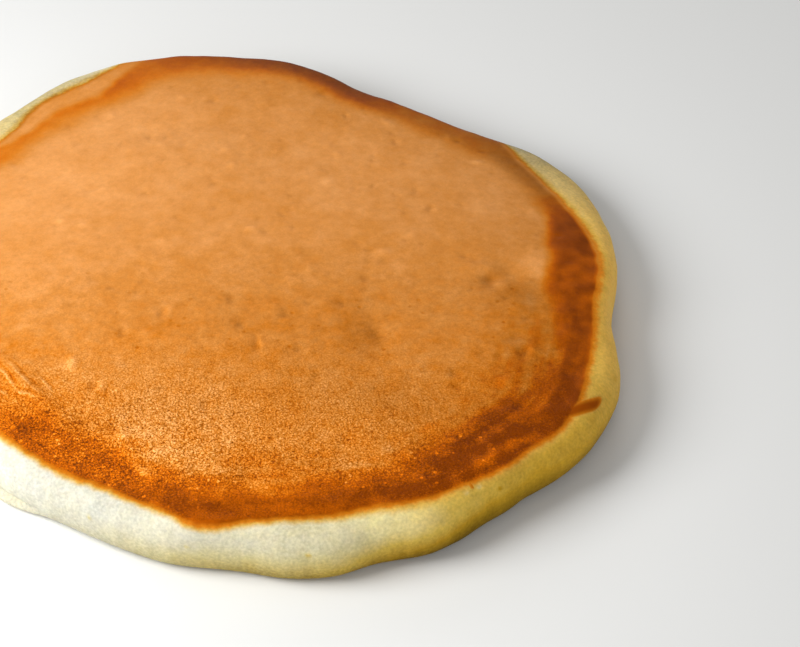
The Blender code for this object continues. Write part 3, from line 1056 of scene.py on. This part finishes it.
def pale_side(n, inside):
    """Colour of the side, with the yellow and orange of the crust's border over it."""
    depth = n.sum(n.attribute("depth"), (PALE_UNEVEN, n.noise(PALE_WAVELENGTH, detail=3)))
    colour = n.mix(n.attribute("tanned"), n.ramp(depth, SIDE_COLOURS), screen_colour(TANNED_SIDE))
    colour = n.mix(n.remap(inside, *YELLOW_RISE), colour, screen_colour(BORDER_YELLOW))
    colour = n.mix(n.remap(inside, *ORANGE_RISE), colour, screen_colour(BORDER_ORANGE))
    light = n.math("SUBTRACT", 1.0, n.attribute("shade"))
    light = n.sum(light, (FINE_LIGHT, n.noise(FINE_LIGHT_WAVELENGTH)))
    light = n.sum(light, (UPRIGHT_LIGHT, n.noise(UPRIGHT_WAVELENGTH, stretch=UPRIGHT_STRETCH)))
    return n.scaled(colour, light)


def baked_material(middle):
    """Batter baked in a pan: a grainy browned crust over a pale, faintly see-through side."""
    n = Nodes("baked_batter")
    toast = n.attribute("toast")
    inside = n.sum(n.attribute("border"), (FRAYED, n.noise(FRAYED_WAVELENGTH, detail=3, roughness=0.6)))
    inside = n.math("MAXIMUM", inside, n.sum(SMUDGE_FADE[0], (SMUDGE_FADE[1], n.attribute("smudge"))))
    crust = n.remap(inside, *BROWNED_RISE)
    browned, crust_height = browned_crust(n, toast, middle)
    side_height = n.product(n.noise(SIDE_BUMP_WAVELENGTH, detail=3, roughness=0.6), SIDE_BUMP)
    height = n.add("ShaderNodeMix", 0, {0: crust, 2: side_height, 3: crust_height})
    n.feed_shader({
        "Base Color": n.mix(crust, pale_side(n, inside), browned),
        "Roughness": n.remap(crust, 0, 1, SIDE_ROUGHNESS, n.remap(toast, *CRUST_ROUGHNESS)),
        "Normal": n.add("ShaderNodeBump", 0, {"Height": height, "Distance": BUMP_HEIGHT, "Strength": 1.0}),
        "Subsurface Weight": n.remap(crust, 0, 1, SIDE_DEPTH_OF_LIGHT, CRUST_DEPTH_OF_LIGHT),
        "Subsurface Radius": LIGHT_REACH_BY_COLOUR,
        "Subsurface Scale": LIGHT_REACH,
        "Specular IOR Level": GLOSS,
    })
    return n.material


def build_floor():
    n = Nodes("pale_floor")
    n.feed_shader({"Base Color": screen_colour(FLOOR_COLOUR), "Roughness": FLOOR_ROUGHNESS})
    mesh = bpy.data.meshes.new("floor")
    corners = [(x * FLOOR_REACH, y * FLOOR_REACH, 0) for x, y in ((-1, -1), (1, -1), (1, 1), (-1, 1))]
    mesh.from_pydata(corners, [], [(0, 1, 2, 3)])
    mesh.materials.append(n.material)
    floor = bpy.data.objects.new("studio_floor", mesh)
    floor.location.z = -FLOOR_DROP
    bpy.context.scene.collection.objects.link(floor)


def add_lamp(name, place, diameter, power):
    light = bpy.data.lights.new(name, "AREA")
    light.shape = "DISK"
    light.size = diameter
    light.energy = power
    lamp = bpy.data.objects.new(name, light)
    lamp.location = place
    lamp.rotation_euler = (LAMP_AIM - Vector(place)).to_track_quat("-Z", "Y").to_euler()
    bpy.context.scene.collection.objects.link(lamp)


def build_studio():
    build_floor()
    for lamp in LAMPS:
        add_lamp(*lamp)
    world = bpy.data.worlds.new("studio_air")
    world.use_nodes = True
    air = world.node_tree.nodes["Background"]
    air.inputs["Color"].default_value = (1, 1, 1, 1)
    air.inputs["Strength"].default_value = AIR_STRENGTH
    bpy.context.scene.world = world


def build_camera():
    elevation = math.radians(CAMERA_ELEVATION)
    back = Vector((0, -math.cos(elevation), math.sin(elevation)))
    camera = bpy.data.objects.new("camera", bpy.data.cameras.new("camera"))
    camera.data.lens = CAMERA_LENS
    camera.data.clip_start = CAMERA_CLIP
    camera.location = CAMERA_AIM + back * CAMERA_DISTANCE
    camera.rotation_euler = (-back).to_track_quat("-Z", "Y").to_euler()
    bpy.context.scene.collection.objects.link(camera)
    bpy.context.scene.camera = camera


bpy.context.scene.view_settings.view_transform = "Standard"
build_camera()
build_studio()
build_pancake()
